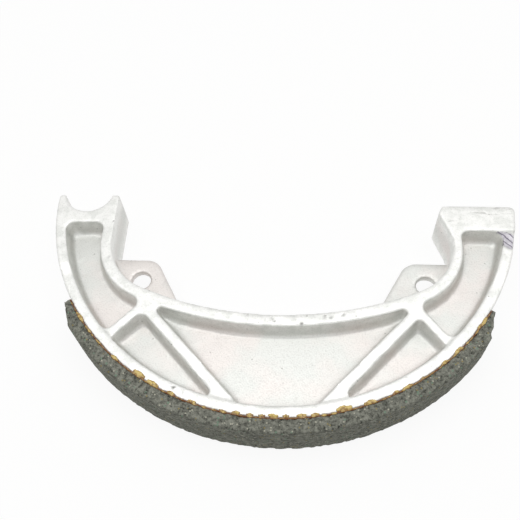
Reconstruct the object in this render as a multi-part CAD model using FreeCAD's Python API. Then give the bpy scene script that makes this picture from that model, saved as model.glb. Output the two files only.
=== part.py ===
import FreeCAD, Part
import math
import os

from FreeCAD import Vector

# Brake shoe for a drum brake: a die-cast aluminium shoe with a bonded friction lining.
# The origin is the drum's axis on the lower side face. +Z runs along the axle, the
# lining faces -Y, the anchor end is at -X and the cam end at +X.

# Drum and lining
drum_radius = 75.0
lining_thickness = 3.9
bond_thickness = 0.3
lining_start = -148.4
lining_end = -32.6
lining_chamfer_angle = 6.0
anchor_chamfer_depth = 2.3
cam_chamfer_depth = 3.0
bead_width = 1.0
bead_height = 0.5
bead_inset = 2.0

# Widths along the axle
end_width = 14.5
rim_drop = 0.5
web_thickness = 2.4
lug_thickness = 2.4

# Outer rim, inner rim and ribs
outer_rim = 3.2
inner_rim = 3.5
long_rib_thickness = 3.0
short_rib_thickness = 2.5
rib_fall = 1.2
rib_fall_length = 10.6
rib_flare = 5.0
draft = 0.35
pocket_corner = 2.1
rib_corner = 0.8
floor_round = 1.4
floor_steps = 3

# Anchor end
pin_radius = 7.5
pin_clearance = 0.1
pin_offset = 0.25
pin_y = 1.7
horn_tip_y = 0.3
horn_round = 0.9
anchor_wall = 4.1

# Cam end
cam_face_y = -2.9
cam_length = 25.9
cam_chamfer_width = 1.2
cam_chamfer_height = 2.6
cam_neck_rise = 1.56
cam_corner = 1.6
cam_wall = 8.8
cam_rim = 2.6

# Inner outline: straight ends, tight bends and one long flat arc
end_depth = 23.7
bend_radius = 18.0
waist_depth = 34.0
waist_radius = 101.4

# Where each side's two ribs cross: degrees before the waist's end, and a distance beyond the
# inner rim. The angles where they meet the outer rim are about the drum's axis. A gusset
# fills the corner between the two, as far along them as its size says.
junction_left_turn = 2.24
junction_right_turn = 1.87
junction_left_gap = 1.36
junction_right_gap = 2.06
short_rib_root = 3.0
gusset_left = 4.3
gusset_right = 3.7
short_rib_left = -135.0
short_rib_right = -45.4
long_rib_left = -100.5
long_rib_right = -77.9

# Spring lugs, measured from the end faces and from the middle of the waist
lug_height = 21.0
lug_reach = 13.5
lug_foot_reach = 22.3
lug_foot_overlap = 0.56
lug_corner_round = 5.0
lug_edge_round = 0.6
spring_hole_radius = 2.9
hole_left_reach = 9.4
hole_left_height = 13.7
hole_right_reach = 8.0
hole_right_height = 13.5

# Steps on the rim beside the end lands, in degrees
step_left = -158.9
step_right = -23.6
step_angle = 3.0

# Break at the cam end, where the runner was snapped off, measured from the rim's outer corner
break_reach = 7.9
break_corner_reach = 6.2
break_slope_reach = 6.8
break_foot_reach = 3.6
break_start = 9.0
break_neck = 10.1
break_slope = 12.7
break_length = 15.2
break_depth = 0.25
break_tilt = 8.0

# Worked out
bond_radius = drum_radius - lining_thickness
rim_radius = bond_radius - bond_thickness
pocket_radius = rim_radius - outer_rim
rib_fall_start = pocket_radius - rib_fall_length
notch_radius = pin_radius + pin_clearance
end_face_x = drum_radius - end_depth
pin_x = -(end_face_x + rim_radius) / 2 - pin_offset
horn_wall = (rim_radius - end_face_x) / 2 - notch_radius - pin_offset
cam_inner_x = drum_radius - cam_length
waist_y = waist_depth - drum_radius
waist_centre_y = waist_y + waist_radius
lug_top_y = waist_y + lug_height
lug_corner_x = end_face_x - lug_reach
lug_foot_x = end_face_x - lug_foot_reach
mid_z = end_width / 2
floor_z = mid_z + web_thickness / 2
touch = 0.01


def polar(radius, degrees, z=0.0):
    """A point at a radius and an angle about the drum's axis."""
    angle = math.radians(degrees)
    return Vector(radius * math.cos(angle), radius * math.sin(angle), z)


def line(start, end):
    """A straight edge."""
    return Part.LineSegment(start, end).toShape()


def arc(start, middle, end):
    """A circular edge through three points."""
    return Part.Arc(start, middle, end).toShape()


def polygon_face(points):
    """A flat face with straight sides."""
    corners = [Vector(x, y, 0) for x, y in points]
    return Part.Face(Part.makePolygon(corners + corners[:1]))


def flip_x(point):
    """The same point on the other side of the middle plane."""
    return Vector(-point.x, point.y, point.z)


def ring_sector(inner, outer, first, last, low, high):
    """A curved bar between two radii and two angles."""
    middle = (first + last) / 2
    edges = [
        arc(polar(outer, first, low), polar(outer, middle, low), polar(outer, last, low)),
        line(polar(outer, last, low), polar(inner, last, low)),
        arc(polar(inner, last, low), polar(inner, middle, low), polar(inner, first, low)),
        line(polar(inner, first, low), polar(outer, first, low)),
    ]
    return Part.Face(Part.Wire(edges)).extrude(Vector(0, 0, high - low))


def bend_points(face_x, bend, rim):
    """Start, middle and end of the bend from the cam end's inner face into the waist."""
    waist = waist_radius + rim
    waist_centre = Vector(0, waist_centre_y, 0)
    bend_x = face_x - bend
    bend_y = waist_centre.y - math.sqrt((waist - bend) ** 2 - bend_x ** 2)
    slope = math.degrees(math.atan2(bend_y - waist_centre.y, bend_x))
    start = Vector(face_x, bend_y, 0)
    middle = Vector(bend_x, bend_y, 0) + polar(bend, slope / 2)
    return start, middle, waist_centre + polar(waist, slope)


def inner_outline(anchor_rim, cam_end_rim, waist_rim, anchor_top, cam_top):
    """Edges of the hub side from the cam end to the anchor end, with rims of given thickness added."""
    cam_x = end_face_x + cam_end_rim
    anchor_x = end_face_x + anchor_rim
    right = bend_points(cam_x, bend_radius + cam_end_rim, waist_rim)
    left = bend_points(anchor_x, bend_radius + anchor_rim, waist_rim)
    left_start, left_middle, left_end = [flip_x(point) for point in left]
    return [
        line(Vector(cam_x, cam_top, 0), right[0]),
        arc(*right),
        arc(right[2], Vector(0, waist_y - waist_rim, 0), left_end),
        arc(left_end, left_middle, left_start),
        line(left_start, Vector(-anchor_x, anchor_top, 0)),
    ]


def blank_face():
    """The side view of the casting with no pockets and no notch."""
    horn_x = -math.sqrt(rim_radius ** 2 - horn_tip_y ** 2)
    cam_x = math.sqrt(rim_radius ** 2 - cam_face_y ** 2)
    horn = Vector(horn_x, horn_tip_y, 0)
    cam_outer = Vector(cam_x, cam_face_y, 0)
    cam_inner = Vector(cam_inner_x, cam_face_y, 0)
    cam_lower = cam_inner - Vector(cam_chamfer_width, cam_chamfer_height, 0)
    cam_neck_y = bend_points(end_face_x, bend_radius, 0.0)[0].y + cam_neck_rise
    neck = Vector(end_face_x, cam_neck_y, 0)
    edges = [
        arc(horn, Vector(0, -rim_radius, 0), cam_outer),
        line(cam_outer, cam_inner),
        line(cam_inner, cam_lower),
        line(cam_lower, neck),
    ]
    edges += inner_outline(0.0, 0.0, 0.0, horn_tip_y, cam_neck_y)
    edges.append(line(Vector(-end_face_x, horn_tip_y, 0), horn))
    return Part.Face(Part.Wire(edges))


def hub_and_rim_face():
    """The open space on the hub side, with the inner rim's thickness added."""
    top = drum_radius
    edges = inner_outline(inner_rim, cam_rim, inner_rim, top, top)
    edges.append(line(Vector(-end_face_x - inner_rim, top, 0), Vector(end_face_x + cam_rim, top, 0)))
    return Part.Face(Part.Wire(edges))


def rib_strip(start, end, thickness, root):
    """A rib's plan view, from a root behind its start into the outer rim."""
    along = (end - start).normalize()
    side = Vector(-along.y, along.x, 0) * (thickness / 2)
    first = start - along * root
    last = end + along * outer_rim
    corners = [first + side, last + side, last - side, first - side]
    return polygon_face([(point.x, point.y) for point in corners])


def junction_point(side, turn, gap):
    """Where two ribs cross, beyond the inner rim and before the waist runs into the bend."""
    waist_end = -math.degrees(math.acos((end_face_x - bend_radius) / (waist_radius - bend_radius)))
    point = Vector(0, waist_centre_y, 0) + polar(waist_radius + inner_rim + gap, waist_end - turn)
    return Vector(side * point.x, point.y, 0)


def rib_strips():
    """The four ribs in plan view."""
    strips = []
    left = junction_point(-1, junction_left_turn, junction_left_gap)
    right = junction_point(1, junction_right_turn, junction_right_gap)
    for junction, short_end, long_end, gusset in (
            (left, short_rib_left, long_rib_left, gusset_left),
            (right, short_rib_right, long_rib_right, gusset_right)):
        short_foot = polar(pocket_radius, short_end)
        long_foot = polar(pocket_radius, long_end)
        strips.append(rib_strip(junction, short_foot, short_rib_thickness, short_rib_root))
        strips.append(rib_strip(junction, long_foot, long_rib_thickness, 0.0))
        on_short = junction + (short_foot - junction).normalize() * gusset
        on_long = junction + (long_foot - junction).normalize() * gusset
        strips.append(polygon_face([(point.x, point.y) for point in (junction, on_short, on_long)]))
    return strips


def pocket_field():
    """The plan view between the rims and the end walls, with no ribs."""
    disc = Part.Face(Part.Wire(Part.makeCircle(pocket_radius)))
    anchor_top = pin_y - notch_radius - anchor_wall
    cam_top = cam_face_y - cam_wall
    edge = drum_radius
    between_ends = polygon_face(
        [(-edge, anchor_top), (0, anchor_top), (0, cam_top), (edge, cam_top), (edge, -edge), (-edge, -edge)])
    return disc.common(between_ends).cut(hub_and_rim_face())


def pocket_faces():
    """The five pockets in plan view at the rim's top, with sharp corners."""
    field = pocket_field()
    for strip in rib_strips():
        field = field.cut(strip)
    smallest = math.pi * pocket_corner ** 2
    return [face for face in field.Faces if face.Area > smallest]


def pocket_section(face, inset, corner, height):
    """A pocket's outline at one height: moved inwards, with its corners rounded."""
    core = face.makeOffset2D(-inset - corner, 0, False, False)
    wire = core.makeOffset2D(corner, 0, False, False).Wires[0]
    wire.translate(Vector(0, 0, height))
    return wire


def pocket_tool(face):
    """A tapered pocket, open at the top, whose walls run into the floor in a hollow curve."""
    is_end = face.BoundBox.YMax > lug_top_y
    corner = pocket_corner if is_end else rib_corner
    sections = [pocket_section(face, 0.0, corner + draft, end_width)]
    for step in range(floor_steps + 1):
        turn = math.radians(90.0 * step / floor_steps)
        inset = draft + floor_round * (1 - math.cos(turn))
        sections.append(pocket_section(face, inset, corner, floor_z + floor_round * (1 - math.sin(turn))))
    bands = [Part.makeLoft([low, high], True, True) for high, low in zip(sections, sections[1:])]
    return bands[0].multiFuse(bands[1:])


def rib_fall_tool():
    """The wedge that lowers the ribs towards the outer rim."""
    corners = [
        Vector(rib_fall_start, 0, end_width),
        Vector(pocket_radius, 0, end_width - rib_fall),
        Vector(pocket_radius, 0, end_width + rib_fall),
        Vector(rib_fall_start, 0, end_width + rib_fall),
    ]
    axle = Vector(0, 0, 1)
    profile = Part.Face(Part.makePolygon(corners + corners[:1]))
    profile.rotate(Vector(0, 0, 0), axle, short_rib_left - rib_flare)
    sweep = short_rib_right - short_rib_left + 2 * rib_flare
    return profile.revolve(Vector(0, 0, 0), axle, sweep)


def rim_drop_tool():
    """The shallow step that lowers the rim between its two end lands, with ramps."""
    low = end_width - rim_drop
    inner = pocket_radius - long_rib_thickness
    outer = rim_radius + outer_rim
    first = step_left + step_angle
    last = step_right - step_angle
    flat = ring_sector(inner, outer, first, last, low, end_width + rim_drop)
    for land, edge in ((step_left, first), (step_right, last)):
        flat = flat.fuse(ramp(inner, outer, land, edge, low))
    return flat.removeSplitter()


def ramp(inner, outer, land, edge, low):
    """A wedge from the end land's height at one angle to the rim's at the other."""
    def section(radius):
        return [polar(radius, land, end_width), polar(radius, edge, low), polar(radius, edge, end_width)]
    near = section(inner)
    far = section(outer)
    loft = Part.makeLoft([Part.makePolygon(near + near[:1]), Part.makePolygon(far + far[:1])], True, True)
    return loft


def flip(shape):
    """The same cut on the lower side face."""
    return shape.mirror(Vector(0, 0, mid_z), Vector(0, 0, 1))


def lug(side):
    """A spring lug: a flat ear at mid width, rounded at its corner and along its free edges."""
    root_x = end_face_x + inner_rim / 2
    foot_y = waist_centre_y - math.sqrt(waist_radius ** 2 - lug_foot_x ** 2) + lug_foot_overlap
    root_y = foot_y - inner_rim / 2
    corners = [(root_x, lug_top_y), (lug_corner_x, lug_top_y), (lug_foot_x, foot_y), (root_x, root_y)]
    face = polygon_face([(side * x, y) for x, y in corners])
    plate = face.extrude(Vector(0, 0, lug_thickness))
    plate.translate(Vector(0, 0, mid_z - lug_thickness / 2))
    corner = Vector(side * lug_corner_x, lug_top_y, 0)
    plate = plate.makeFillet(lug_corner_round, vertical_edges(plate, [corner]))
    return plate.makeFillet(lug_edge_round, free_lug_edges(plate, side * root_x, root_y))


def free_lug_edges(plate, root_x, root_y):
    """The edges round a lug's two faces, apart from those inside the rim."""
    free = []
    for edge in plate.Edges:
        box = edge.BoundBox
        middle = edge.CenterOfMass
        at_root = abs(middle.x - root_x) < touch or box.YMin < root_y + touch and box.YLength < touch
        if box.ZLength < touch and not at_root:
            free.append(edge)
    return free


def vertical_edges(shape, places):
    """The upright edges that pass through the given points."""
    found = []
    for edge in shape.Edges:
        box = edge.BoundBox
        upright = box.XLength < touch and box.YLength < touch
        middle = edge.CenterOfMass
        if upright and any(math.hypot(middle.x - p.x, middle.y - p.y) < touch for p in places):
            found.append(edge)
    return found


def solid_blank():
    """The casting before its pockets: outline, pin seat and rounded ends."""
    blank = blank_face().extrude(Vector(0, 0, end_width))
    blank = blank.cut(Part.makeCylinder(notch_radius, end_width, Vector(pin_x, pin_y, 0)))
    horn_x = -math.sqrt(rim_radius ** 2 - horn_tip_y ** 2)
    cam_x = math.sqrt(rim_radius ** 2 - cam_face_y ** 2)
    horns = [Vector(horn_x, horn_tip_y, 0), Vector(-end_face_x, horn_tip_y, 0)]
    blank = blank.makeFillet(min(horn_round, horn_wall), vertical_edges(blank, horns))
    return blank.makeFillet(cam_corner, vertical_edges(blank, [Vector(cam_x, cam_face_y, 0)]))


def break_tool():
    """The slanting break on the upper side of the cam end's outer rim."""
    outline = [
        (rim_radius - break_reach, cam_face_y - break_neck),
        (rim_radius - break_corner_reach, cam_face_y - break_start),
        (drum_radius, cam_face_y - break_start),
        (drum_radius, cam_face_y - break_length),
        (rim_radius - break_foot_reach, cam_face_y - break_length),
        (rim_radius - break_slope_reach, cam_face_y - break_slope),
    ]
    tool = polygon_face(outline).extrude(Vector(0, 0, end_width))
    tool.translate(Vector(0, 0, end_width - break_depth))
    tool.rotate(Vector(outline[0][0], outline[0][1], end_width), Vector(0, 1, 0), break_tilt)
    return tool


def casting():
    """The cast shoe."""
    body = solid_blank()
    tools = [pocket_tool(face) for face in pocket_faces()]
    tools.append(rib_fall_tool())
    tools.append(rim_drop_tool())
    for tool in tools:
        body = body.cut(tool)
        body = body.cut(flip(tool))
    body = body.cut(break_tool())
    hole_z = mid_z - lug_thickness / 2
    for side, reach, height in (
            (-1, hole_left_reach, hole_left_height),
            (1, hole_right_reach, hole_right_height)):
        hole = Vector(side * (end_face_x - reach), waist_y + height, hole_z)
        body = body.fuse(lug_outside(lug(side)))
        body = body.cut(Part.makeCylinder(spring_hole_radius, lug_thickness, hole))
    return body.removeSplitter()


def lug_outside(plate):
    """The stretch of a lug that stands clear of the pockets."""
    field = pocket_field().extrude(Vector(0, 0, end_width))
    return plate.cut(field)


def friction_lining():
    """The lining: a curved block whose ends are chamfered towards the drum."""
    low = rim_drop
    high = end_width - rim_drop
    block = ring_sector(bond_radius, drum_radius, lining_start, lining_end, low, high)
    ends = ((lining_start, lining_chamfer_angle, anchor_chamfer_depth),
            (lining_end, -lining_chamfer_angle, cam_chamfer_depth))
    for end, turn, depth in ends:
        corners = [
            polar(drum_radius - depth, end),
            polar(drum_radius, end + turn),
            polar(drum_radius + lining_thickness, end),
            polar(drum_radius - depth, end - turn),
        ]
        wedge = polygon_face([(p.x, p.y) for p in corners])
        block = block.cut(wedge.extrude(Vector(0, 0, end_width)))
    return block


def bead_ridge():
    """The bead of squeezed-out glue along the upper edge of the joint."""
    middle = (rim_radius + bond_radius) / 2
    low = end_width - rim_drop
    profile = [
        (middle - bead_width / 2, low),
        (middle + bead_width / 2, low),
        (middle + bead_width / 4, low + bead_height),
        (middle - bead_width / 4, low + bead_height),
    ]
    corners = [Vector(radius, 0, height) for radius, height in profile]
    face = Part.Face(Part.makePolygon(corners + corners[:1]))
    axle = Vector(0, 0, 1)
    face.rotate(Vector(0, 0, 0), axle, lining_start + bead_inset)
    return face.revolve(Vector(0, 0, 0), axle, lining_end - lining_start - 2 * bead_inset)


def adhesive_bond():
    """The cured glue: a film between rim and lining, with a bead at each edge."""
    film = ring_sector(rim_radius, bond_radius, lining_start, lining_end, rim_drop, end_width - rim_drop)
    ridge = bead_ridge()
    return film.fuse(ridge).fuse(flip(ridge)).removeSplitter()


def main():
    """Builds each piece and writes its file."""
    os.makedirs("parts", exist_ok=True)
    pieces = {
        "shoe_casting": casting(),
        "friction_lining": friction_lining(),
        "adhesive_bond": adhesive_bond(),
    }
    for name, shape in pieces.items():
        print(name, shape.isValid(), len(shape.Solids), round(shape.Volume, 1))
        shape.exportStep("parts/" + name + ".step")


main()
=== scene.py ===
import logging
import math
import random
from dataclasses import dataclass, field
from enum import Enum
from typing import Any

import bmesh
import bpy
from mathutils import Matrix, Vector, noise


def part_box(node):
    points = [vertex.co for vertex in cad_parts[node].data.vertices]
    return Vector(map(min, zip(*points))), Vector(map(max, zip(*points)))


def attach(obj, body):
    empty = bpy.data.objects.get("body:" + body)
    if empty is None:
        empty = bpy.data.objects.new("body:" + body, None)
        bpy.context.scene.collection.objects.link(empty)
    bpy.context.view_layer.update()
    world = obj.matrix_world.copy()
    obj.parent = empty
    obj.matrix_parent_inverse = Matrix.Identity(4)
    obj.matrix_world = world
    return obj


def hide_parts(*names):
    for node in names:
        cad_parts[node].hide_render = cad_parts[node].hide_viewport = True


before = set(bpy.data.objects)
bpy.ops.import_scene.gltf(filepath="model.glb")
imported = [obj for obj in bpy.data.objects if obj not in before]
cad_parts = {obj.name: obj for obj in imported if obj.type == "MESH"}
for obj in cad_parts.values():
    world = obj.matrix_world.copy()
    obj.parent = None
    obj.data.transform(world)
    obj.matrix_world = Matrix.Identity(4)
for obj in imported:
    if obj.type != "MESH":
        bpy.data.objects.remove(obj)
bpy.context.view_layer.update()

# The dressed brake shoe: a softened casting, a crumbled lining and the glue squeezed out
# between them, in a plain white studio. Sizes are in mm and angles in degrees about the
# drum's axis, unless a class says otherwise. Every mesh is in metres, in the CAD model's frame.

LOG = logging.getLogger("brake_shoe")
MM = 0.001
IMAGE_SIZE = 520
SENSOR_MM = 36.0
MERGE_DISTANCE = 0.002

# Sizes that the shoe shares with its CAD model
DRUM_RADIUS = 75.0
SHOE_WIDTH = 14.5
LINING_THICKNESS = 3.9
BOND_THICKNESS = 0.3
RIM_DROP = 0.5
LINING_START = -148.4
LINING_END = -32.6
BOND_RADIUS = DRUM_RADIUS - LINING_THICKNESS
RIM_RADIUS = BOND_RADIUS - BOND_THICKNESS
RIM_TOP = SHOE_WIDTH - RIM_DROP
HALF_WIDTH = SHOE_WIDTH / 2

WHITE = (1.0, 1.0, 1.0, 1.0)
AXLE = (0.0, 0.0, 1.0)
ORIGIN = (0.0, 0.0, 0.0)


class Side(Enum):
    """The two edges of the bonded joint."""

    UPPER = 1
    LOWER = -1


def linear(code: str) -> tuple[float, float, float, float]:
    """Turns an sRGB hex colour into linear red, green, blue and alpha.

    Args:
        code: The colour, such as "#C8963C".

    Returns:
        Four numbers from 0 to 1.
    """
    parts = [int(code[i:i + 2], 16) / 255 for i in (1, 3, 5)]
    red, green, blue = [
        part / 12.92 if part <= 0.04045 else ((part + 0.055) / 1.055) ** 2.4 for part in parts]
    return red, green, blue, 1.0


def add_node(tree: bpy.types.NodeTree, kind: str, settings: dict[str, Any] | None = None,
             inputs: dict[str | int, Any] | None = None) -> bpy.types.Node:
    """Adds a node with its settings and links.

    Args:
        tree: The node tree.
        kind: The node's type name without its Shader prefix.
        settings: Attributes of the node.
        inputs: For each input, a value or the output socket that feeds it.

    Returns:
        The new node.
    """
    node = tree.nodes.new("ShaderNode" + kind)
    for name, value in (settings or {}).items():
        setattr(node, name, value)
    for name, value in (inputs or {}).items():
        if isinstance(value, bpy.types.NodeSocket):
            tree.links.new(value, node.inputs[name])
        else:
            node.inputs[name].default_value = value
    return node


def start_finish(name: str) -> tuple[bpy.types.Material, bpy.types.Node, bpy.types.NodeSocket]:
    """Starts a procedural finish that follows the object's coordinates.

    Args:
        name: The material's name.

    Returns:
        The material, its shader and the socket with the object coordinates.
    """
    material = bpy.data.materials.new(name)
    material.use_nodes = True
    tree = material.node_tree
    place = add_node(tree, "TexCoord").outputs["Object"]
    return material, tree.nodes["Principled BSDF"], place


def from_middle(tree: bpy.types.NodeTree, place: bpy.types.NodeSocket) -> bpy.types.NodeSocket:
    """Measures how far a point is from the shoe's middle plane.

    Args:
        tree: The material's node tree.
        place: The object coordinates.

    Returns:
        The socket with the distance in metres.
    """
    height = add_node(tree, "SeparateXYZ", {}, {0: place}).outputs["Z"]
    above = add_node(tree, "Math", {"operation": "SUBTRACT"}, {0: height, 1: HALF_WIDTH * MM})
    return add_node(tree, "Math", {"operation": "ABSOLUTE"}, {0: above.outputs[0]}).outputs[0]


def polar(radius: float, degrees: float, height: float) -> Vector:
    """A point in metres, from a radius and a height in mm and an angle about the drum's axis."""
    angle = math.radians(degrees)
    return Vector((radius * math.cos(angle), radius * math.sin(angle), height)) * MM


def new_object(name: str, form: bmesh.types.BMesh) -> bpy.types.Object:
    """Turns a bmesh into an object at the origin, linked to the scene.

    Args:
        name: The piece's name.
        form: The shape, which is freed.

    Returns:
        The new object.
    """
    mesh = bpy.data.meshes.new(name)
    form.to_mesh(mesh)
    form.free()
    piece = bpy.data.objects.new(name, mesh)
    bpy.context.scene.collection.objects.link(piece)
    return piece


def merged_copy(node: bpy.types.Object) -> bmesh.types.BMesh:
    """Copies a solid's mesh and joins its loose triangles.

    Args:
        node: The solid's object, which stays as it is.

    Returns:
        The copy.
    """
    form = bmesh.new()
    form.from_mesh(node.data)
    bmesh.ops.remove_doubles(form, verts=form.verts, dist=MERGE_DISTANCE * MM)
    return form


def apply_modifiers(piece: bpy.types.Object) -> None:
    """Turns an object's modifiers into its mesh.

    Args:
        piece: The object.
    """
    graph = bpy.context.evaluated_depsgraph_get()
    finished = bpy.data.meshes.new_from_object(piece.evaluated_get(graph))
    piece.modifiers.clear()
    piece.data = finished


def keep_in_box(place: Vector, low: Vector, high: Vector) -> Vector:
    """Moves a point back into a box."""
    return Vector([min(max(value, floor), top) for value, floor, top in zip(place, low, high)])


def inside(x: float, y: float, outline: tuple[tuple[float, float], ...]) -> bool:
    """Says whether a plan point lies within an outline.

    Args:
        x: The point's x.
        y: The point's y.
        outline: The corners in order.

    Returns:
        True when the point is inside.
    """
    found = False
    for (x0, y0), (x1, y1) in zip(outline, outline[1:] + outline[:1]):
        if (y0 > y) != (y1 > y) and x < x0 + (y - y0) * (x1 - x0) / (y1 - y0):
            found = not found
    return found


@dataclass(frozen=True)
class CastAluminium:
    """Die-cast aluminium, shot-blasted: a bright, matt skin with a sandy grain and a few pits.

    A fade is the pair of values between which a pattern comes in. The web's colours, darker as
    painted shade for the pockets' floors, come in from the first to the second of two distances
    from the shoe's middle plane.
    """

    skin: str = "#F1F1EE"
    skin_dull: str = "#E3E4E0"
    web_warm_shaded: str = "#E0DBD7"
    web_cool_shaded: str = "#DADBD7"
    pit: str = "#7E7C76"
    nick: str = "#5A5854"
    fracture: str = "#CBC8CE"
    fracture_line: str = "#777280"
    metallic: float = 0.75
    roughness: float = 0.42
    roughness_dip: float = 0.08
    roughness_rise: float = 0.1
    roughness_fade: tuple[float, float] = (0.3, 0.7)
    grain_mm: float = 0.45
    grain_depth_mm: float = 0.08
    grain_strength: float = 0.6
    blotch_mm: float = 2.6
    blotch_depth_mm: float = 0.1
    blotch_strength: float = 0.5
    mottle_fade: tuple[float, float] = (0.45, 0.65)
    speckle_fade: tuple[float, float] = (0.5, 0.75)
    speckle_strength: float = 0.18
    web_shade_fade_mm: tuple[float, float] = (5.5, 1.5)
    cloud_mm: float = 14.0
    cloud_fade: tuple[float, float] = (0.4, 0.6)
    pit_mm: float = 1.7
    pit_fade: tuple[float, float] = (0.17, 0.08)
    pit_strength: float = 0.55
    unpitted_share: float = 0.9
    tear_waves_per_mm: float = 0.3
    tear_wobble: float = 3.0
    tear_fade: tuple[float, float] = (0.2, 0.06)
    score_mm: float = 1.0
    score_stretch: tuple[float, float, float] = (0.25, 1.0, 1.0)
    score_fade: tuple[float, float] = (0.6, 0.72)
    score_strength: float = 0.4

    def build(self) -> bpy.types.Material:
        """Makes the material.

        Returns:
            The finished material.
        """
        material, shader, place = start_finish("cast_aluminium")
        tree = material.node_tree
        # Blasting dents the metal all over, so it is bright but mirrors nothing. Fine shot
        # leaves dents about 0.15 mm wide. They are drawn three times as wide, so that they show.
        grain = add_node(tree, "TexNoise", {}, {
            "Vector": place, "Scale": 1 / (self.grain_mm * MM), "Detail": 4.0}).outputs[0]
        # The skin of a casting is never quite flat or even where the melt met the die.
        blotch = add_node(tree, "TexNoise", {}, {
            "Vector": place, "Scale": 1 / (self.blotch_mm * MM), "Detail": 3.0}).outputs[0]
        colour = self.base_colour(tree, place, grain, blotch)
        colour = self.add_pits(tree, place, colour)
        colour = self.add_nicks_and_break(tree, place, colour)
        colour = self.add_scores(tree, place, colour)
        tree.links.new(colour, shader.inputs["Base Color"])
        shader.inputs["Metallic"].default_value = self.metallic
        rough = add_node(tree, "MapRange", {}, {
            "Value": grain, "From Min": self.roughness_fade[0], "From Max": self.roughness_fade[1],
            "To Min": self.roughness - self.roughness_dip,
            "To Max": self.roughness + self.roughness_rise})
        tree.links.new(rough.outputs[0], shader.inputs["Roughness"])
        sandy = add_node(tree, "Bump", {}, {
            "Strength": self.grain_strength, "Distance": self.grain_depth_mm * MM,
            "Height": grain})
        uneven = add_node(tree, "Bump", {}, {
            "Strength": self.blotch_strength, "Distance": self.blotch_depth_mm * MM,
            "Height": blotch, "Normal": sandy.outputs[0]})
        tree.links.new(uneven.outputs[0], shader.inputs["Normal"])
        return material

    def base_colour(self, tree: bpy.types.NodeTree, place: bpy.types.NodeSocket,
                    grain: bpy.types.NodeSocket,
                    blotch: bpy.types.NodeSocket) -> bpy.types.NodeSocket:
        """Bright, faintly mottled skin on the rims and a clouded one on the web, darker as painted
        shade for the pockets.

        Args:
            tree: The material's node tree.
            place: The object coordinates.
            grain: The fine grain's value.
            blotch: The small blotches' value.

        Returns:
            The colour socket.
        """
        cloud = add_node(tree, "TexNoise", {}, {
            "Vector": place, "Scale": 1 / (self.cloud_mm * MM), "Detail": 3.0})
        clouds = add_node(tree, "MapRange", {}, {
            "Value": cloud.outputs[0], "From Min": self.cloud_fade[0],
            "From Max": self.cloud_fade[1]})
        web = add_node(tree, "Mix", {"data_type": "RGBA"}, {
            "Factor": clouds.outputs[0], "A": linear(self.web_warm_shaded), "B": linear(self.web_cool_shaded)})
        mottle = add_node(tree, "MapRange", {}, {
            "Value": blotch, "From Min": self.mottle_fade[0], "From Max": self.mottle_fade[1]})
        skin = add_node(tree, "Mix", {"data_type": "RGBA"}, {
            "Factor": mottle.outputs[0], "A": linear(self.skin), "B": linear(self.skin_dull)})
        # Painted shade: the web, down in the pockets, is drawn darker than the rims' tops.
        web_shade_mask = add_node(tree, "MapRange", {}, {
            "Value": from_middle(tree, place), "From Min": self.web_shade_fade_mm[0] * MM,
            "From Max": self.web_shade_fade_mm[1] * MM})
        skin_and_web_shade = add_node(tree, "Mix", {"data_type": "RGBA"}, {
            "Factor": web_shade_mask.outputs[0], "A": skin.outputs[2], "B": web.outputs[2]})
        speckle = add_node(tree, "MapRange", {}, {
            "Value": grain, "From Min": self.speckle_fade[0], "From Max": self.speckle_fade[1],
            "To Max": self.speckle_strength})
        return add_node(tree, "Mix", {"data_type": "RGBA"}, {
            "Factor": speckle.outputs[0], "A": skin_and_web_shade.outputs[2], "B": linear(self.pit)}).outputs[2]

    def add_pits(self, tree: bpy.types.NodeTree, place: bpy.types.NodeSocket,
                 colour: bpy.types.NodeSocket) -> bpy.types.NodeSocket:
        """Scatters small dark pits.

        Args:
            tree: The material's node tree.
            place: The object coordinates.
            colour: The colour so far.

        Returns:
            The colour socket with pits.
        """
        cells = add_node(tree, "TexVoronoi", {}, {
            "Vector": place, "Scale": 1 / (self.pit_mm * MM)})
        pick = add_node(tree, "SeparateColor", {}, {0: cells.outputs["Color"]})
        chosen = add_node(tree, "Math", {"operation": "GREATER_THAN"}, {
            0: pick.outputs[0], 1: self.unpitted_share})
        near = add_node(tree, "MapRange", {}, {
            "Value": cells.outputs["Distance"], "From Min": self.pit_fade[0],
            "From Max": self.pit_fade[1], "To Max": self.pit_strength})
        mask = add_node(tree, "Math", {"operation": "MULTIPLY"}, {
            0: chosen.outputs[0], 1: near.outputs[0]})
        return add_node(tree, "Mix", {"data_type": "RGBA"}, {
            "Factor": mask.outputs[0], "A": colour, "B": linear(self.pit)}).outputs[2]

    def add_nicks_and_break(self, tree: bpy.types.NodeTree, place: bpy.types.NodeSocket,
                            colour: bpy.types.NodeSocket) -> bpy.types.NodeSocket:
        """Darkens the nicks and lays torn metal on the break, where the mesh says so.

        Args:
            tree: The material's node tree.
            place: The object coordinates.
            colour: The colour so far.

        Returns:
            The colour socket with nicks and break.
        """
        nick = add_node(tree, "Attribute", {"attribute_name": "nick"})
        nicked = add_node(tree, "Mix", {"data_type": "RGBA"}, {
            "Factor": nick.outputs["Fac"], "A": colour, "B": linear(self.nick)})
        lines = add_node(tree, "TexWave", {"bands_direction": "DIAGONAL"}, {
            "Vector": place, "Scale": self.tear_waves_per_mm / MM,
            "Distortion": self.tear_wobble, "Detail": 2.0})
        dark = add_node(tree, "MapRange", {}, {
            "Value": lines.outputs[1], "From Min": self.tear_fade[0],
            "From Max": self.tear_fade[1]})
        torn = add_node(tree, "Mix", {"data_type": "RGBA"}, {
            "Factor": dark.outputs[0], "A": linear(self.fracture),
            "B": linear(self.fracture_line)})
        fracture = add_node(tree, "Attribute", {"attribute_name": "fracture"})
        return add_node(tree, "Mix", {"data_type": "RGBA"}, {
            "Factor": fracture.outputs["Fac"], "A": nicked.outputs[2],
            "B": torn.outputs[2]}).outputs[2]

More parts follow.
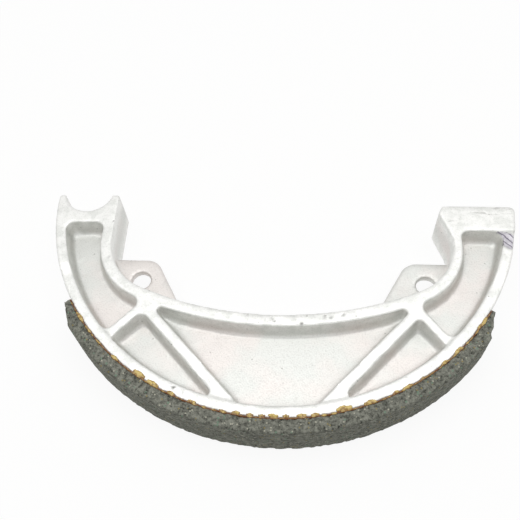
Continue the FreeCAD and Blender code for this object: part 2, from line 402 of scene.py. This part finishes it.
    def add_scores(self, tree: bpy.types.NodeTree, place: bpy.types.NodeSocket,
                   colour: bpy.types.NodeSocket) -> bpy.types.NodeSocket:
        """Draws faint streaks along the shoe on the cam end's land.

        Args:
            tree: The material's node tree.
            place: The object coordinates.
            colour: The colour so far.

        Returns:
            The colour socket with the scores.
        """
        stretch = add_node(tree, "Mapping", {}, {"Vector": place, "Scale": self.score_stretch})
        streaks = add_node(tree, "TexNoise", {}, {
            "Vector": stretch.outputs[0], "Scale": 1 / (self.score_mm * MM), "Detail": 2.0})
        score = add_node(tree, "MapRange", {}, {
            "Value": streaks.outputs[0], "From Min": self.score_fade[0],
            "From Max": self.score_fade[1], "To Max": self.score_strength})
        area = add_node(tree, "Attribute", {"attribute_name": "scored"})
        mask = add_node(tree, "Math", {"operation": "MULTIPLY"}, {
            0: score.outputs[0], 1: area.outputs["Fac"]})
        return add_node(tree, "Mix", {"data_type": "RGBA"}, {
            "Factor": mask.outputs[0], "A": colour, "B": linear(self.pit)}).outputs[2]


@dataclass(frozen=True)
class Chip:
    """One kind of chip in the friction material.

    Its shift, in metres, keeps its pattern apart from those of the other kinds.
    """

    tint: str
    cell_mm: float
    absent_share: float
    shift: float


@dataclass(frozen=True)
class FrictionComposite:
    """Resin-bound friction material, moulded and ground: dark, matt, full of fibre ends.

    A fade is the pair of values between which a pattern comes in.
    """

    base: str = "#9D9E92"
    dark: str = "#32342D"
    chips: tuple[Chip, ...] = (
        Chip("#D8D6C2", 0.55, 0.94, 0.0), Chip("#A39258", 0.6, 0.96, 7.0),
        Chip("#7E9A84", 0.8, 0.92, 13.0), Chip("#2A2B27", 0.7, 0.92, 21.0),
    )
    chip_fade: tuple[float, float] = (0.5, 0.3)
    chip_strength: float = 0.75
    patch_mm: float = 1.2
    patch_raggedness: float = 0.85
    patch_fade: tuple[float, float] = (0.36, 0.6)
    grit_mm: float = 0.6
    grit_depth_mm: float = 0.3
    grit_strength: float = 0.9
    roughness: float = 0.85
    specular: float = 0.35

    def build(self) -> bpy.types.Material:
        """Makes the material.

        Returns:
            The finished material.
        """
        material, shader, place = start_finish("friction_composite")
        tree = material.node_tree
        # Ground resin with fibres and metal powder swallows the light in its pores, and looks
        # like dark, damp stone with pale, rusty and greenish flecks.
        patch = add_node(tree, "TexNoise", {}, {
            "Vector": place, "Scale": 1 / (self.patch_mm * MM), "Detail": 6.0,
            "Roughness": self.patch_raggedness})
        patch_mask = add_node(tree, "MapRange", {}, {
            "Value": patch.outputs[0], "From Min": self.patch_fade[0],
            "From Max": self.patch_fade[1]})
        colour = add_node(tree, "Mix", {"data_type": "RGBA"}, {
            "Factor": patch_mask.outputs[0], "A": linear(self.dark),
            "B": linear(self.base)}).outputs[2]
        for chip in self.chips:
            colour = self.add_chips(tree, place, colour, chip)
        tree.links.new(colour, shader.inputs["Base Color"])
        shader.inputs["Roughness"].default_value = self.roughness
        shader.inputs["Specular IOR Level"].default_value = self.specular
        # Such grit is about 0.3 mm wide. It is drawn twice as coarse, so that it shows.
        grit = add_node(tree, "TexNoise", {}, {
            "Vector": place, "Scale": 1 / (self.grit_mm * MM), "Detail": 5.0})
        rough = add_node(tree, "Bump", {}, {
            "Strength": self.grit_strength, "Distance": self.grit_depth_mm * MM,
            "Height": grit.outputs[0]})
        tree.links.new(rough.outputs[0], shader.inputs["Normal"])
        return material

    def add_chips(self, tree: bpy.types.NodeTree, place: bpy.types.NodeSocket,
                  colour: bpy.types.NodeSocket, chip: Chip) -> bpy.types.NodeSocket:
        """Scatters one kind of chip.

        Args:
            tree: The material's node tree.
            place: The object coordinates.
            colour: The colour so far.
            chip: The kind of chip.

        Returns:
            The colour socket with the chips.
        """
        moved = add_node(tree, "VectorMath", {"operation": "ADD"}, {
            0: place, 1: (chip.shift, chip.shift, chip.shift)})
        cells = add_node(tree, "TexVoronoi", {}, {
            "Vector": moved.outputs[0], "Scale": 1 / (chip.cell_mm * MM)})
        pick = add_node(tree, "SeparateColor", {}, {0: cells.outputs["Color"]})
        chosen = add_node(tree, "Math", {"operation": "GREATER_THAN"}, {
            0: pick.outputs[0], 1: chip.absent_share})
        near = add_node(tree, "MapRange", {}, {
            "Value": cells.outputs["Distance"], "From Min": self.chip_fade[0],
            "From Max": self.chip_fade[1], "To Max": self.chip_strength})
        mask = add_node(tree, "Math", {"operation": "MULTIPLY"}, {
            0: chosen.outputs[0], 1: near.outputs[0]})
        return add_node(tree, "Mix", {"data_type": "RGBA"}, {
            "Factor": mask.outputs[0], "A": colour, "B": linear(chip.tint)}).outputs[2]


@dataclass(frozen=True)
class CuredAdhesive:
    """Heat-cured bonding resin: clear and glossy, painted bright amber at the drops' tops as a
    painted glow, and brown at their feet, partly the dark joint and partly painted shade.

    It is brown further below the side face than the first depth, and amber above the second.
    """

    amber_and_glow: str = "#FBDD84"
    brown_and_foot_shade: str = "#8E5218"
    depths_mm: tuple[float, float] = (0.42, 0.18)
    tint_mm: float = 1.0
    tint_fade: tuple[float, float] = (0.62, 0.5)
    amber_share: tuple[float, float] = (0.3, 1.0)
    roughness: float = 0.1
    ior: float = 1.55
    transmission: float = 0.25

    def build(self) -> bpy.types.Material:
        """Makes the material.

        Returns:
            The finished material.
        """
        material, shader, place = start_finish("cured_adhesive")
        tree = material.node_tree
        # Painted light and shade: the drops' tops are painted bright amber as a glow, and their
        # feet brown, partly the thin dark line of the joint showing through and partly painted
        # shade.
        # Painted glow and shade: the glue is brighter amber higher up and browner low down.
        rise = add_node(tree, "MapRange", {}, {
            "Value": from_middle(tree, place),
            "From Min": HALF_WIDTH * MM - self.depths_mm[0] * MM,
            "From Max": HALF_WIDTH * MM - self.depths_mm[1] * MM})
        tint = add_node(tree, "TexNoise", {}, {
            "Vector": place, "Scale": 1 / (self.tint_mm * MM), "Detail": 3.0})
        patchy = add_node(tree, "MapRange", {}, {
            "Value": tint.outputs[0], "From Min": self.tint_fade[0],
            "From Max": self.tint_fade[1], "To Min": self.amber_share[0],
            "To Max": self.amber_share[1]})
        mask = add_node(tree, "Math", {"operation": "MULTIPLY"}, {
            0: rise.outputs[0], 1: patchy.outputs[0]})
        colour = add_node(tree, "Mix", {"data_type": "RGBA"}, {
            "Factor": mask.outputs[0], "A": linear(self.brown_and_foot_shade), "B": linear(self.amber_and_glow)})
        tree.links.new(colour.outputs[2], shader.inputs["Base Color"])
        shader.inputs["Roughness"].default_value = self.roughness
        shader.inputs["IOR"].default_value = self.ior
        shader.inputs["Transmission Weight"].default_value = self.transmission
        return material


@dataclass
class ShoeCasting:
    """The cast shoe, with the soft edges and slightly uneven skin of a die-cast piece.

    A nick is its x, its y and its size. The break is where a runner was snapped off beside
    the cam end, and the scores are on that end's land.
    """

    voxel: float = 0.43
    adaptivity: float = 0.04
    smoothing: int = 1
    fillet_steps: int = 14
    fillet_rate: float = 0.6
    fillet_zone: tuple[float, float] = (0.9, 3.6)
    wave_height: float = 0.07
    waves_per_mm: float = 0.16
    sand_height: float = 0.035
    sand_per_mm: float = 0.9
    marks: tuple[str, ...] = ("nick", "fracture", "scored")
    mark_depth: float = 0.8
    nick_depth: float = 0.25
    nick_core: float = 1.2
    nicks: tuple[tuple[float, float, float], ...] = (
        (-8.4, -41.5, 0.45), (-1.5, -42.3, 0.4), (-0.8, -43.1, 0.3), (6.9, -43.7, 0.6),
        (11.1, -41.7, 0.35), (13.4, -41.3, 0.5), (15.3, -41.6, 0.4), (18.7, -40.6, 0.5),
        (-27.0, -63.2, 0.55), (-24.5, -64.5, 0.45), (-51.9, -9.8, 0.3), (-51.2, -23.1, 0.35),
    )
    break_depth: float = 0.25
    break_roughness: float = 0.35
    break_waves_per_mm: float = 0.8
    break_outline: tuple[tuple[float, float], ...] = (
        (63.4, -12.2), (65.0, -11.9), (68.9, -12.3), (69.6, -12.8), (68.8, -17.4),
        (67.5, -17.9), (66.3, -16.6), (64.9, -15.9), (63.2, -13.6),
    )
    scored_from: tuple[float, float] = (50.5, -12.0)
    finish: CastAluminium = field(default_factory=CastAluminium)

    def build(self) -> bpy.types.Object:
        """Makes the softened casting in place of the plain solid.

        Returns:
            The finished piece.
        """
        piece = new_object("casting_body", merged_copy(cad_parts["shoe_casting"]))
        soften = piece.modifiers.new("soften", "REMESH")
        soften.mode = "VOXEL"
        soften.voxel_size = self.voxel * MM
        soften.adaptivity = self.adaptivity * MM
        smooth = piece.modifiers.new("smooth", "SMOOTH")
        smooth.iterations = self.smoothing
        apply_modifiers(piece)
        self.round_feet(piece.data)
        self.texture(piece.data)
        for face in piece.data.polygons:
            face.use_smooth = True
        piece.data.materials.append(self.finish.build())
        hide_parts("shoe_casting")
        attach(piece, "root")
        return piece

    def round_feet(self, mesh: bpy.types.Mesh) -> None:
        """Fills the hollow corners at the foot of the walls, as a casting's fillets do.

        Args:
            mesh: The casting's mesh.
        """
        form = bmesh.new()
        form.from_mesh(mesh)
        near, far = self.fillet_zone
        zone = [vert for vert in form.verts if near < abs(vert.co.z / MM - HALF_WIDTH) < far]
        around = [(vert, [edge.other_vert(vert) for edge in vert.link_edges]) for vert in zone]
        for _ in range(self.fillet_steps):
            form.normal_update()
            rises = [sum((other.co - vert.co).dot(vert.normal) for other in others) / len(others)
                     for vert, others in around]
            for vert, rise in zip(zone, rises):
                if rise > 0:
                    vert.co += vert.normal * rise * self.fillet_rate
        form.to_mesh(mesh)
        form.free()

    def texture(self, mesh: bpy.types.Mesh) -> None:
        """Gives the mesh its uneven skin, and says where nicks, scores and the break are.

        Args:
            mesh: The casting's mesh.
        """
        low, high = [Vector(corner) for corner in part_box("shoe_casting")]
        for name in self.marks:
            mesh.attributes.new(name, "FLOAT", "POINT")
        layers = [mesh.attributes[name].data for name in self.marks]
        normals = [vert.normal.copy() for vert in mesh.vertices]
        for vert, normal in zip(mesh.vertices, normals):
            place = vert.co / MM
            values = self.marks_at(place)
            nick, torn, _ = values
            lift = noise.noise(place * self.waves_per_mm) * self.wave_height
            lift += noise.noise(place * self.sand_per_mm) * self.sand_height
            lift -= nick * self.nick_depth
            jagged = noise.noise(place * self.break_waves_per_mm) * self.break_roughness
            lift -= torn * (self.break_depth + jagged)
            vert.co = keep_in_box(vert.co + normal * lift * MM, low, high)
            for layer, value in zip(layers, values):
                layer[vert.index].value = value

    def marks_at(self, place: Vector) -> tuple[float, float, float]:
        """Says how far a point is nicked, torn and scored.

        Args:
            place: The point in mm.

        Returns:
            Three numbers from 0 to 1.
        """
        if place.z <= RIM_TOP - self.mark_depth:
            return 0.0, 0.0, 0.0
        nick = max(self.nick_core - math.hypot(place.x - x, place.y - y) / size
                   for x, y, size in self.nicks)
        torn = inside(place.x, place.y, self.break_outline)
        scored = place.x > self.scored_from[0] and place.y > self.scored_from[1]
        return min(max(nick, 0.0), 1.0), float(torn), float(scored)


@dataclass
class FrictionLining:
    """The bonded lining, with rough faces and crumbled edges.

    The rough fractal is its falloff, its step from one size to the next and how many sizes.
    """

    cell: float = 0.65
    anchor_chamfer: float = 2.3
    cam_chamfer: float = 3.0
    chamfer_angle: float = 6.0
    cut_slack: float = 0.001
    weld: float = 0.05
    rough_height: float = 0.08
    rough_per_mm: float = 0.9
    rough_fractal: tuple[float, float, int] = (1.0, 2.0, 4)
    crumb_depth: float = 0.9
    crumbs_per_mm: float = 0.8
    crumb_shift: tuple[float, float, float] = (5.0, 3.0, 1.0)
    edge_angle: float = 40.0
    finish: FrictionComposite = field(default_factory=FrictionComposite)

    def build(self) -> bpy.types.Object:
        """Makes the lining in place of the plain solid.

        Returns:
            The finished piece.
        """
        form = self.block()
        self.cut_end(form, LINING_START, self.chamfer_angle, self.anchor_chamfer)
        self.cut_end(form, LINING_END, -self.chamfer_angle, self.cam_chamfer)
        bmesh.ops.remove_doubles(form, verts=form.verts, dist=self.weld * MM)
        bmesh.ops.recalc_face_normals(form, faces=form.faces)
        self.crumble(form)
        for face in form.faces:
            face.smooth = True
        piece = new_object("lining_block", form)
        piece.data.materials.append(self.finish.build())
        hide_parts("friction_lining")
        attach(piece, "root")
        return piece

    def block(self) -> bmesh.types.BMesh:
        """Sweeps a gridded cross-section round the drum's axis.

        Returns:
            The block before its ends are cut.
        """
        form = bmesh.new()
        width = RIM_TOP - RIM_DROP
        bmesh.ops.create_grid(form, x_segments=round(LINING_THICKNESS / self.cell),
                              y_segments=round(width / self.cell), size=0.5)
        size = Vector((LINING_THICKNESS, width, 1.0)) * MM
        bmesh.ops.scale(form, vec=size, verts=form.verts)
        upright = Matrix.Rotation(math.radians(90), 3, "X")
        bmesh.ops.rotate(form, cent=ORIGIN, matrix=upright, verts=form.verts)
        middle = Vector((BOND_RADIUS + LINING_THICKNESS / 2, 0, (RIM_TOP + RIM_DROP) / 2)) * MM
        bmesh.ops.translate(form, vec=middle, verts=form.verts)
        turn = Matrix.Rotation(math.radians(LINING_START), 3, "Z")
        bmesh.ops.rotate(form, cent=ORIGIN, matrix=turn, verts=form.verts)
        sweep = math.radians(LINING_END - LINING_START)
        section = list(form.verts) + list(form.edges) + list(form.faces)
        bmesh.ops.spin(form, geom=section, cent=ORIGIN, axis=AXLE, angle=sweep,
                       steps=round(sweep * DRUM_RADIUS / self.cell), use_duplicate=False)
        hidden = [face for face in form.faces
                  if all(len(edge.link_faces) > 2 for edge in face.edges)]
        bmesh.ops.delete(form, geom=hidden, context="FACES")
        return form

    def cut_end(self, form: bmesh.types.BMesh, end: float, turn: float, depth: float) -> None:
        """Cuts the chamfer at one end.

        Args:
            form: The lining's shape.
            end: The end's angle in degrees.
            turn: How far the chamfer reaches round the drum, in degrees.
            depth: How far it reaches into the end face, in mm.
        """
        first = polar(DRUM_RADIUS - depth, end, 0)
        second = polar(DRUM_RADIUS, end + turn, 0)
        away = (second - first).cross(Vector(AXLE))
        if away.dot(first) < 0:
            away.negate()
        geometry = list(form.verts) + list(form.edges) + list(form.faces)
        cut = bmesh.ops.bisect_plane(form, geom=geometry, dist=self.cut_slack * MM,
                                     plane_co=first, plane_no=away, clear_outer=True)
        rim = [item for item in cut["geom_cut"] if isinstance(item, bmesh.types.BMEdge)]
        bmesh.ops.holes_fill(form, edges=rim, sides=0)

    def crumble(self, form: bmesh.types.BMesh) -> None:
        """Roughens the faces and breaks the edges.

        Args:
            form: The lining's shape.
        """
        form.normal_update()
        low, high = [Vector(corner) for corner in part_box("friction_lining")]
        sharp = math.radians(self.edge_angle)
        moves = []
        for vert in form.verts:
            place = vert.co / MM
            move = noise.fractal(place * self.rough_per_mm, *self.rough_fractal)
            move *= self.rough_height
            if any(edge.is_manifold and edge.calc_face_angle() > sharp for edge in vert.link_edges):
                crumb = noise.noise(place * self.crumbs_per_mm + Vector(self.crumb_shift))
                move -= max(0.0, crumb) * self.crumb_depth
            moves.append(vert.normal * move * MM)
        for vert, move in zip(list(form.verts), moves):
            vert.co = keep_in_box(vert.co + move, low, high)


@dataclass(frozen=True)
class Ball:
    """A flattened ball of glue: its middle in metres, its radius in mm and how tall it is."""

    place: Vector
    radius: float
    flatness: float = 1.0


@dataclass
class GlueLine:
    """The cured glue: a thin film with beads that were squeezed out along both edges.

    A drop is its angle, its distance from the drum's axis and its size. The lower edge has
    the same drops in the opposite order. The side shift makes the two edges swell differently.
    """

    voxel: float = 0.16
    smoothing: int = 3
    group: int = 24
    ball_detail: int = 2
    end_gap: float = 1.0
    step: float = 0.22
    bead_radius: float = 0.22
    bead_swell: float = 0.35
    bead_jitter: float = 0.06
    bead_least: float = 0.16
    bead_most: float = 0.45
    swells_per_degree: float = 0.9
    side_shift: float = 9.0
    spread: tuple[float, ...] = (-1.3, -0.65, 0.0, 0.65, 1.3)
    drop_core: float = 0.72
    drop_taper: float = 0.22
    drop_height: float = 0.46
    drop_variety: tuple[float, float] = (0.85, 1.15)
    drop_shift: float = 0.25
    drop_jitter: float = 0.1
    drops: tuple[tuple[float, float, float], ...] = (
        (-142.6, 70.6, 1.0), (-138.3, 70.6, 0.6), (-134.2, 70.6, 0.5), (-128.8, 70.5, 0.8),
        (-121.7, 69.9, 1.2), (-117.8, 70.2, 1.1), (-113.0, 70.2, 0.8), (-108.0, 70.2, 0.7),
        (-101.2, 70.3, 0.5), (-98.1, 70.1, 0.7), (-95.1, 70.1, 0.6), (-92.5, 70.1, 0.6),
        (-90.1, 70.0, 0.8), (-87.4, 70.1, 0.6), (-84.1, 70.0, 0.8), (-81.2, 70.1, 0.7),
        (-74.9, 69.9, 1.3), (-69.2, 70.3, 1.0), (-63.1, 70.3, 0.6), (-60.2, 70.5, 0.9),
        (-56.2, 70.4, 0.5), (-50.2, 70.4, 0.7), (-45.8, 70.4, 0.9), (-37.9, 70.4, 0.7),
        (-36.0, 70.6, 0.9),
    )
    film_steps: int = 120
    seed: int = 11
    finish: CuredAdhesive = field(default_factory=CuredAdhesive)

    def build(self) -> bpy.types.Object:
        """Makes the glue in place of the plain solid.

        Returns:
            The finished piece.
        """
        balls = [ball for side in Side for ball in self.bead(side)]
        form = bmesh.new()
        for first in range(0, len(balls), self.group):
            self.add_balls(form, balls[first:first + self.group])
        piece = new_object("glue_line", form)
        melt = piece.modifiers.new("melt", "REMESH")
        melt.mode = "VOXEL"
        melt.voxel_size = self.voxel * MM
        flow = piece.modifiers.new("flow", "SMOOTH")
        flow.iterations = self.smoothing
        apply_modifiers(piece)
        self.add_film(piece)
        piece.data.materials.append(self.finish.build())
        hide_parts("adhesive_bond")
        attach(piece, "root")
        return piece

    def bead(self, side: Side) -> list[Ball]:
        """Lists the overlapping balls along one edge of the joint.

        Args:
            side: The edge.

        Returns:
            The balls of the thin bead, and then those of the drops.
        """
        draw = random.Random(self.seed + side.value)
        level = RIM_TOP if side is Side.UPPER else RIM_DROP
        return self.thin_bead(side, level, draw) + self.drop_balls(side, level, draw)

    def thin_bead(self, side: Side, level: float, draw: random.Random) -> list[Ball]:
        """Lists the balls that follow the joint from end to end.

        Args:
            side: The edge.
            level: Its height in mm.
            draw: The source of chance.

        Returns:
            The balls.
        """
        middle = (RIM_RADIUS + BOND_RADIUS) / 2
        balls = []
        angle = LINING_START + self.end_gap
        while angle < LINING_END - self.end_gap:
            along = Vector((angle * self.swells_per_degree, side.value * self.side_shift, 0.0))
            size = self.bead_radius + self.bead_swell * noise.noise(along)
            size += draw.uniform(-self.bead_jitter, self.bead_jitter)
            size = min(max(self.bead_least, size), self.bead_most)
            balls.append(Ball(polar(middle, angle, level), size))
            angle += self.step
        return balls

    def drop_balls(self, side: Side, level: float, draw: random.Random) -> list[Ball]:
        """Lists the balls that make up the larger drops.

        Args:
            side: The edge.
            level: Its height in mm.
            draw: The source of chance.

        Returns:
            The balls.
        """
        balls = []
        for angle, radius, size in self.drops:
            turned = angle if side is Side.UPPER else LINING_START + LINING_END - angle
            for shift in self.spread:
                part = size * (self.drop_core - self.drop_taper * abs(shift))
                part *= draw.uniform(*self.drop_variety)
                along = math.degrees(shift * size / RIM_RADIUS)
                reach = radius + self.drop_shift
                reach += draw.uniform(-self.drop_jitter, self.drop_jitter)
                place = polar(reach, turned + along, level)
                balls.append(Ball(place, part, min(self.drop_height / part, 1.0)))
        return balls

    def add_balls(self, form: bmesh.types.BMesh, balls: list[Ball]) -> None:
        """Adds a group of flattened balls, made by themselves because that is far quicker.

        Args:
            form: The shape to add to.
            balls: The balls.
        """
        group = bmesh.new()
        for ball in balls:
            flatten = Matrix.Diagonal((1.0, 1.0, ball.flatness, 1.0))
            bmesh.ops.create_icosphere(
                group, subdivisions=self.ball_detail, radius=ball.radius * MM,
                matrix=Matrix.Translation(ball.place) @ flatten)
        mesh = bpy.data.meshes.new("balls")
        group.to_mesh(mesh)
        group.free()
        form.from_mesh(mesh)
        bpy.data.meshes.remove(mesh)

    def add_film(self, piece: bpy.types.Object) -> None:
        """Adds the film between rim and lining to the beads' mesh.

        Args:
            piece: The beads' object.
        """
        form = bmesh.new()
        corners = [(RIM_RADIUS, RIM_DROP), (BOND_RADIUS, RIM_DROP), (BOND_RADIUS, RIM_TOP),
                   (RIM_RADIUS, RIM_TOP)]
        verts = [form.verts.new(polar(radius, LINING_START, height)) for radius, height in corners]
        start = form.faces.new(verts)
        bmesh.ops.spin(form, geom=[start] + list(start.edges) + verts, cent=ORIGIN, axis=AXLE,
                       angle=math.radians(LINING_END - LINING_START), steps=self.film_steps,
                       use_duplicate=False)
        form.faces.remove(start)
        form.faces.new(reversed(verts))
        bmesh.ops.recalc_face_normals(form, faces=form.faces)
        form.from_mesh(piece.data)
        for face in form.faces:
            face.smooth = True
        form.to_mesh(piece.data)
        form.free()


@dataclass
class Studio:
    """Floor, lamp, surround and camera.

    The camera's angles, distance and aim are those of the photograph. The surround is dim
    where the camera stands, as behind a real camera, and brighter low down in front. Its
    sides are directions, and each fade is a pair of cosines between which it changes. The
    lamp, the floor and the camera's clips are in metres.
    """

    azimuth: float = 7.2
    elevation: float = 58.391
    roll: float = -5.322
    distance: float = 2.93791 * DRUM_RADIUS
    aim: tuple[float, float] = (-0.11417 * DRUM_RADIUS, -0.17821 * DRUM_RADIUS)
    focal_px: float = 688.242
    clips: tuple[float, float] = (0.01, 20.0)
    world_strength: float = 0.5
    dim_side: tuple[float, float, float] = (0.066, -0.52, 0.852)
    dim_fade: tuple[float, float] = (0.66, 0.98)
    dim_level: float = 0.2
    front_side: tuple[float, float, float] = (0.1, -0.85, 0.5)
    front_fade: tuple[float, float] = (0.85, 0.97)
    front_glow: float = 0.8
    lamp_power: float = 2.1
    lamp_size: tuple[float, float] = (0.9, 0.6)
    lamp_place: tuple[float, float, float] = (0.004, -0.05, 0.62)
    lamp_aim: tuple[float, float, float] = (0.0, -0.03, 0.0)
    paper: str = "#F4F4F2"
    paper_unseen: str = "#C8C8C6"
    floor_glow: float = 0.86
    floor_white: float = 1.04
    floor_reach: float = 1.5

    def build(self) -> None:
        """Builds everything that isn't part of the shoe."""
        self.add_camera()
        self.add_surround()
        self.add_lamp()
        self.add_floor()
        bpy.context.scene.view_settings.view_transform = "Standard"

    def add_camera(self) -> None:
        """Places the camera at the photograph's viewing angle."""
        lens = bpy.data.cameras.new("camera")
        lens.sensor_width = SENSOR_MM
        lens.lens = SENSOR_MM * self.focal_px / IMAGE_SIZE
        lens.clip_start, lens.clip_end = self.clips
        rise = math.radians(self.elevation)
        lean = math.radians(self.roll)
        back = Vector((0, -math.cos(rise), math.sin(rise)))
        level = Vector((1, 0, 0))
        upright = back.cross(level)
        right = level * math.cos(lean) + upright * math.sin(lean)
        up = upright * math.cos(lean) - level * math.sin(lean)
        place = (Vector((self.aim[0], self.aim[1], 0)) + back * self.distance) * MM
        turn = Matrix.Rotation(math.radians(self.azimuth), 4, "Z")
        axes = Matrix((right, up, back)).transposed().to_4x4()
        camera = bpy.data.objects.new("camera", lens)
        camera.matrix_world = turn @ Matrix.Translation(place) @ axes
        bpy.context.scene.collection.objects.link(camera)
        bpy.context.scene.camera = camera

    def add_surround(self) -> None:
        """A plain grey surround that the camera sees as white."""
        world = bpy.data.worlds.new("surround")
        world.use_nodes = True
        tree = world.node_tree
        soft = tree.nodes["Background"]
        soft.inputs["Color"].default_value = WHITE
        rays = add_node(tree, "LightPath")
        way = add_node(tree, "TexCoord").outputs["Generated"]
        towards = add_node(tree, "VectorMath", {"operation": "DOT_PRODUCT"}, {
            0: way, 1: self.dim_side})
        dimmed = add_node(tree, "MapRange", {"interpolation_type": "SMOOTHSTEP"}, {
            "Value": towards.outputs["Value"], "From Min": self.dim_fade[0],
            "From Max": self.dim_fade[1], "To Min": 1.0, "To Max": self.dim_level})
        level = add_node(tree, "MapRange", {}, {
            "Value": rays.outputs["Is Glossy Ray"], "To Min": self.world_strength, "To Max": 1.0})
        plain = add_node(tree, "Math", {"operation": "MULTIPLY"}, {
            0: dimmed.outputs[0], 1: level.outputs[0]})
        ahead = add_node(tree, "VectorMath", {"operation": "DOT_PRODUCT"}, {
            0: way, 1: self.front_side})
        glow = add_node(tree, "MapRange", {}, {
            "Value": ahead.outputs["Value"], "From Min": self.front_fade[0],
            "From Max": self.front_fade[1], "To Max": self.front_glow})
        strength = add_node(tree, "Math", {"operation": "MULTIPLY_ADD"}, {
            0: glow.outputs[0], 1: rays.outputs["Is Glossy Ray"], 2: plain.outputs[0]})
        tree.links.new(strength.outputs[0], soft.inputs["Strength"])
        white = add_node(tree, "Background", {}, {"Color": WHITE, "Strength": 1.0})
        clear = add_node(tree, "Math", {"operation": "MAXIMUM"}, {
            0: rays.outputs["Is Camera Ray"], 1: rays.outputs["Is Transmission Ray"]})
        pick = add_node(tree, "MixShader", {}, {
            0: clear.outputs[0], 1: soft.outputs[0], 2: white.outputs[0]})
        tree.links.new(pick.outputs[0], tree.nodes["World Output"].inputs["Surface"])
        bpy.context.scene.world = world

    def add_lamp(self) -> None:
        """One large soft lamp overhead."""
        lamp = bpy.data.lights.new("overhead", "AREA")
        lamp.shape = "RECTANGLE"
        lamp.size, lamp.size_y = self.lamp_size
        lamp.energy = self.lamp_power
        holder = bpy.data.objects.new("overhead", lamp)
        place = Vector(self.lamp_place)
        facing = (place - Vector(self.lamp_aim)).to_track_quat("Z", "Y")
        holder.matrix_world = Matrix.Translation(place) @ facing.to_matrix().to_4x4()
        bpy.context.scene.collection.objects.link(holder)

    def add_floor(self) -> None:
        """A plain white floor that keeps the shoe's shadow."""
        form = bmesh.new()
        bmesh.ops.create_grid(form, x_segments=4, y_segments=4, size=self.floor_reach)
        floor = new_object("floor", form)
        material = bpy.data.materials.new("white_paper")
        material.use_nodes = True
        tree = material.node_tree
        tree.nodes.remove(tree.nodes["Principled BSDF"])
        # Matt paper, lit from behind as on a light table, so that it is white where it is seen
        # or mirrored. To diffuse light it is plain pale paper, so it doesn't light the shoe.
        rays = add_node(tree, "LightPath")
        seen = add_node(tree, "Math", {"operation": "MAXIMUM"}, {
            0: rays.outputs["Is Camera Ray"], 1: rays.outputs["Is Glossy Ray"]})
        shown = add_node(tree, "Math", {"operation": "MAXIMUM"}, {
            0: seen.outputs[0], 1: rays.outputs["Is Transmission Ray"]})
        paper = add_node(tree, "BsdfDiffuse", {}, {"Color": linear(self.paper)})
        unseen = add_node(tree, "BsdfDiffuse", {}, {"Color": linear(self.paper_unseen)})
        glow = add_node(tree, "Emission", {}, {"Color": WHITE, "Strength": self.floor_white})
        lit = add_node(tree, "MixShader", {}, {
            0: self.floor_glow, 1: paper.outputs[0], 2: glow.outputs[0]})
        pick = add_node(tree, "MixShader", {}, {
            0: shown.outputs[0], 1: unseen.outputs[0], 2: lit.outputs[0]})
        tree.links.new(pick.outputs[0], tree.nodes["Material Output"].inputs["Surface"])
        floor.data.materials.append(material)


def main() -> None:
    """Builds the shoe's pieces in order and the studio round them."""
    logging.basicConfig(level=logging.INFO, format="%(relativeCreated)d ms %(message)s")
    for part in (ShoeCasting(), FrictionLining(), GlueLine()):
        piece = part.build()
        triangles = sum(len(face.vertices) - 2 for face in piece.data.polygons)
        LOG.info("%s: %d triangles", piece.name, triangles)
    Studio().build()


if __name__ == "__main__":
    main()
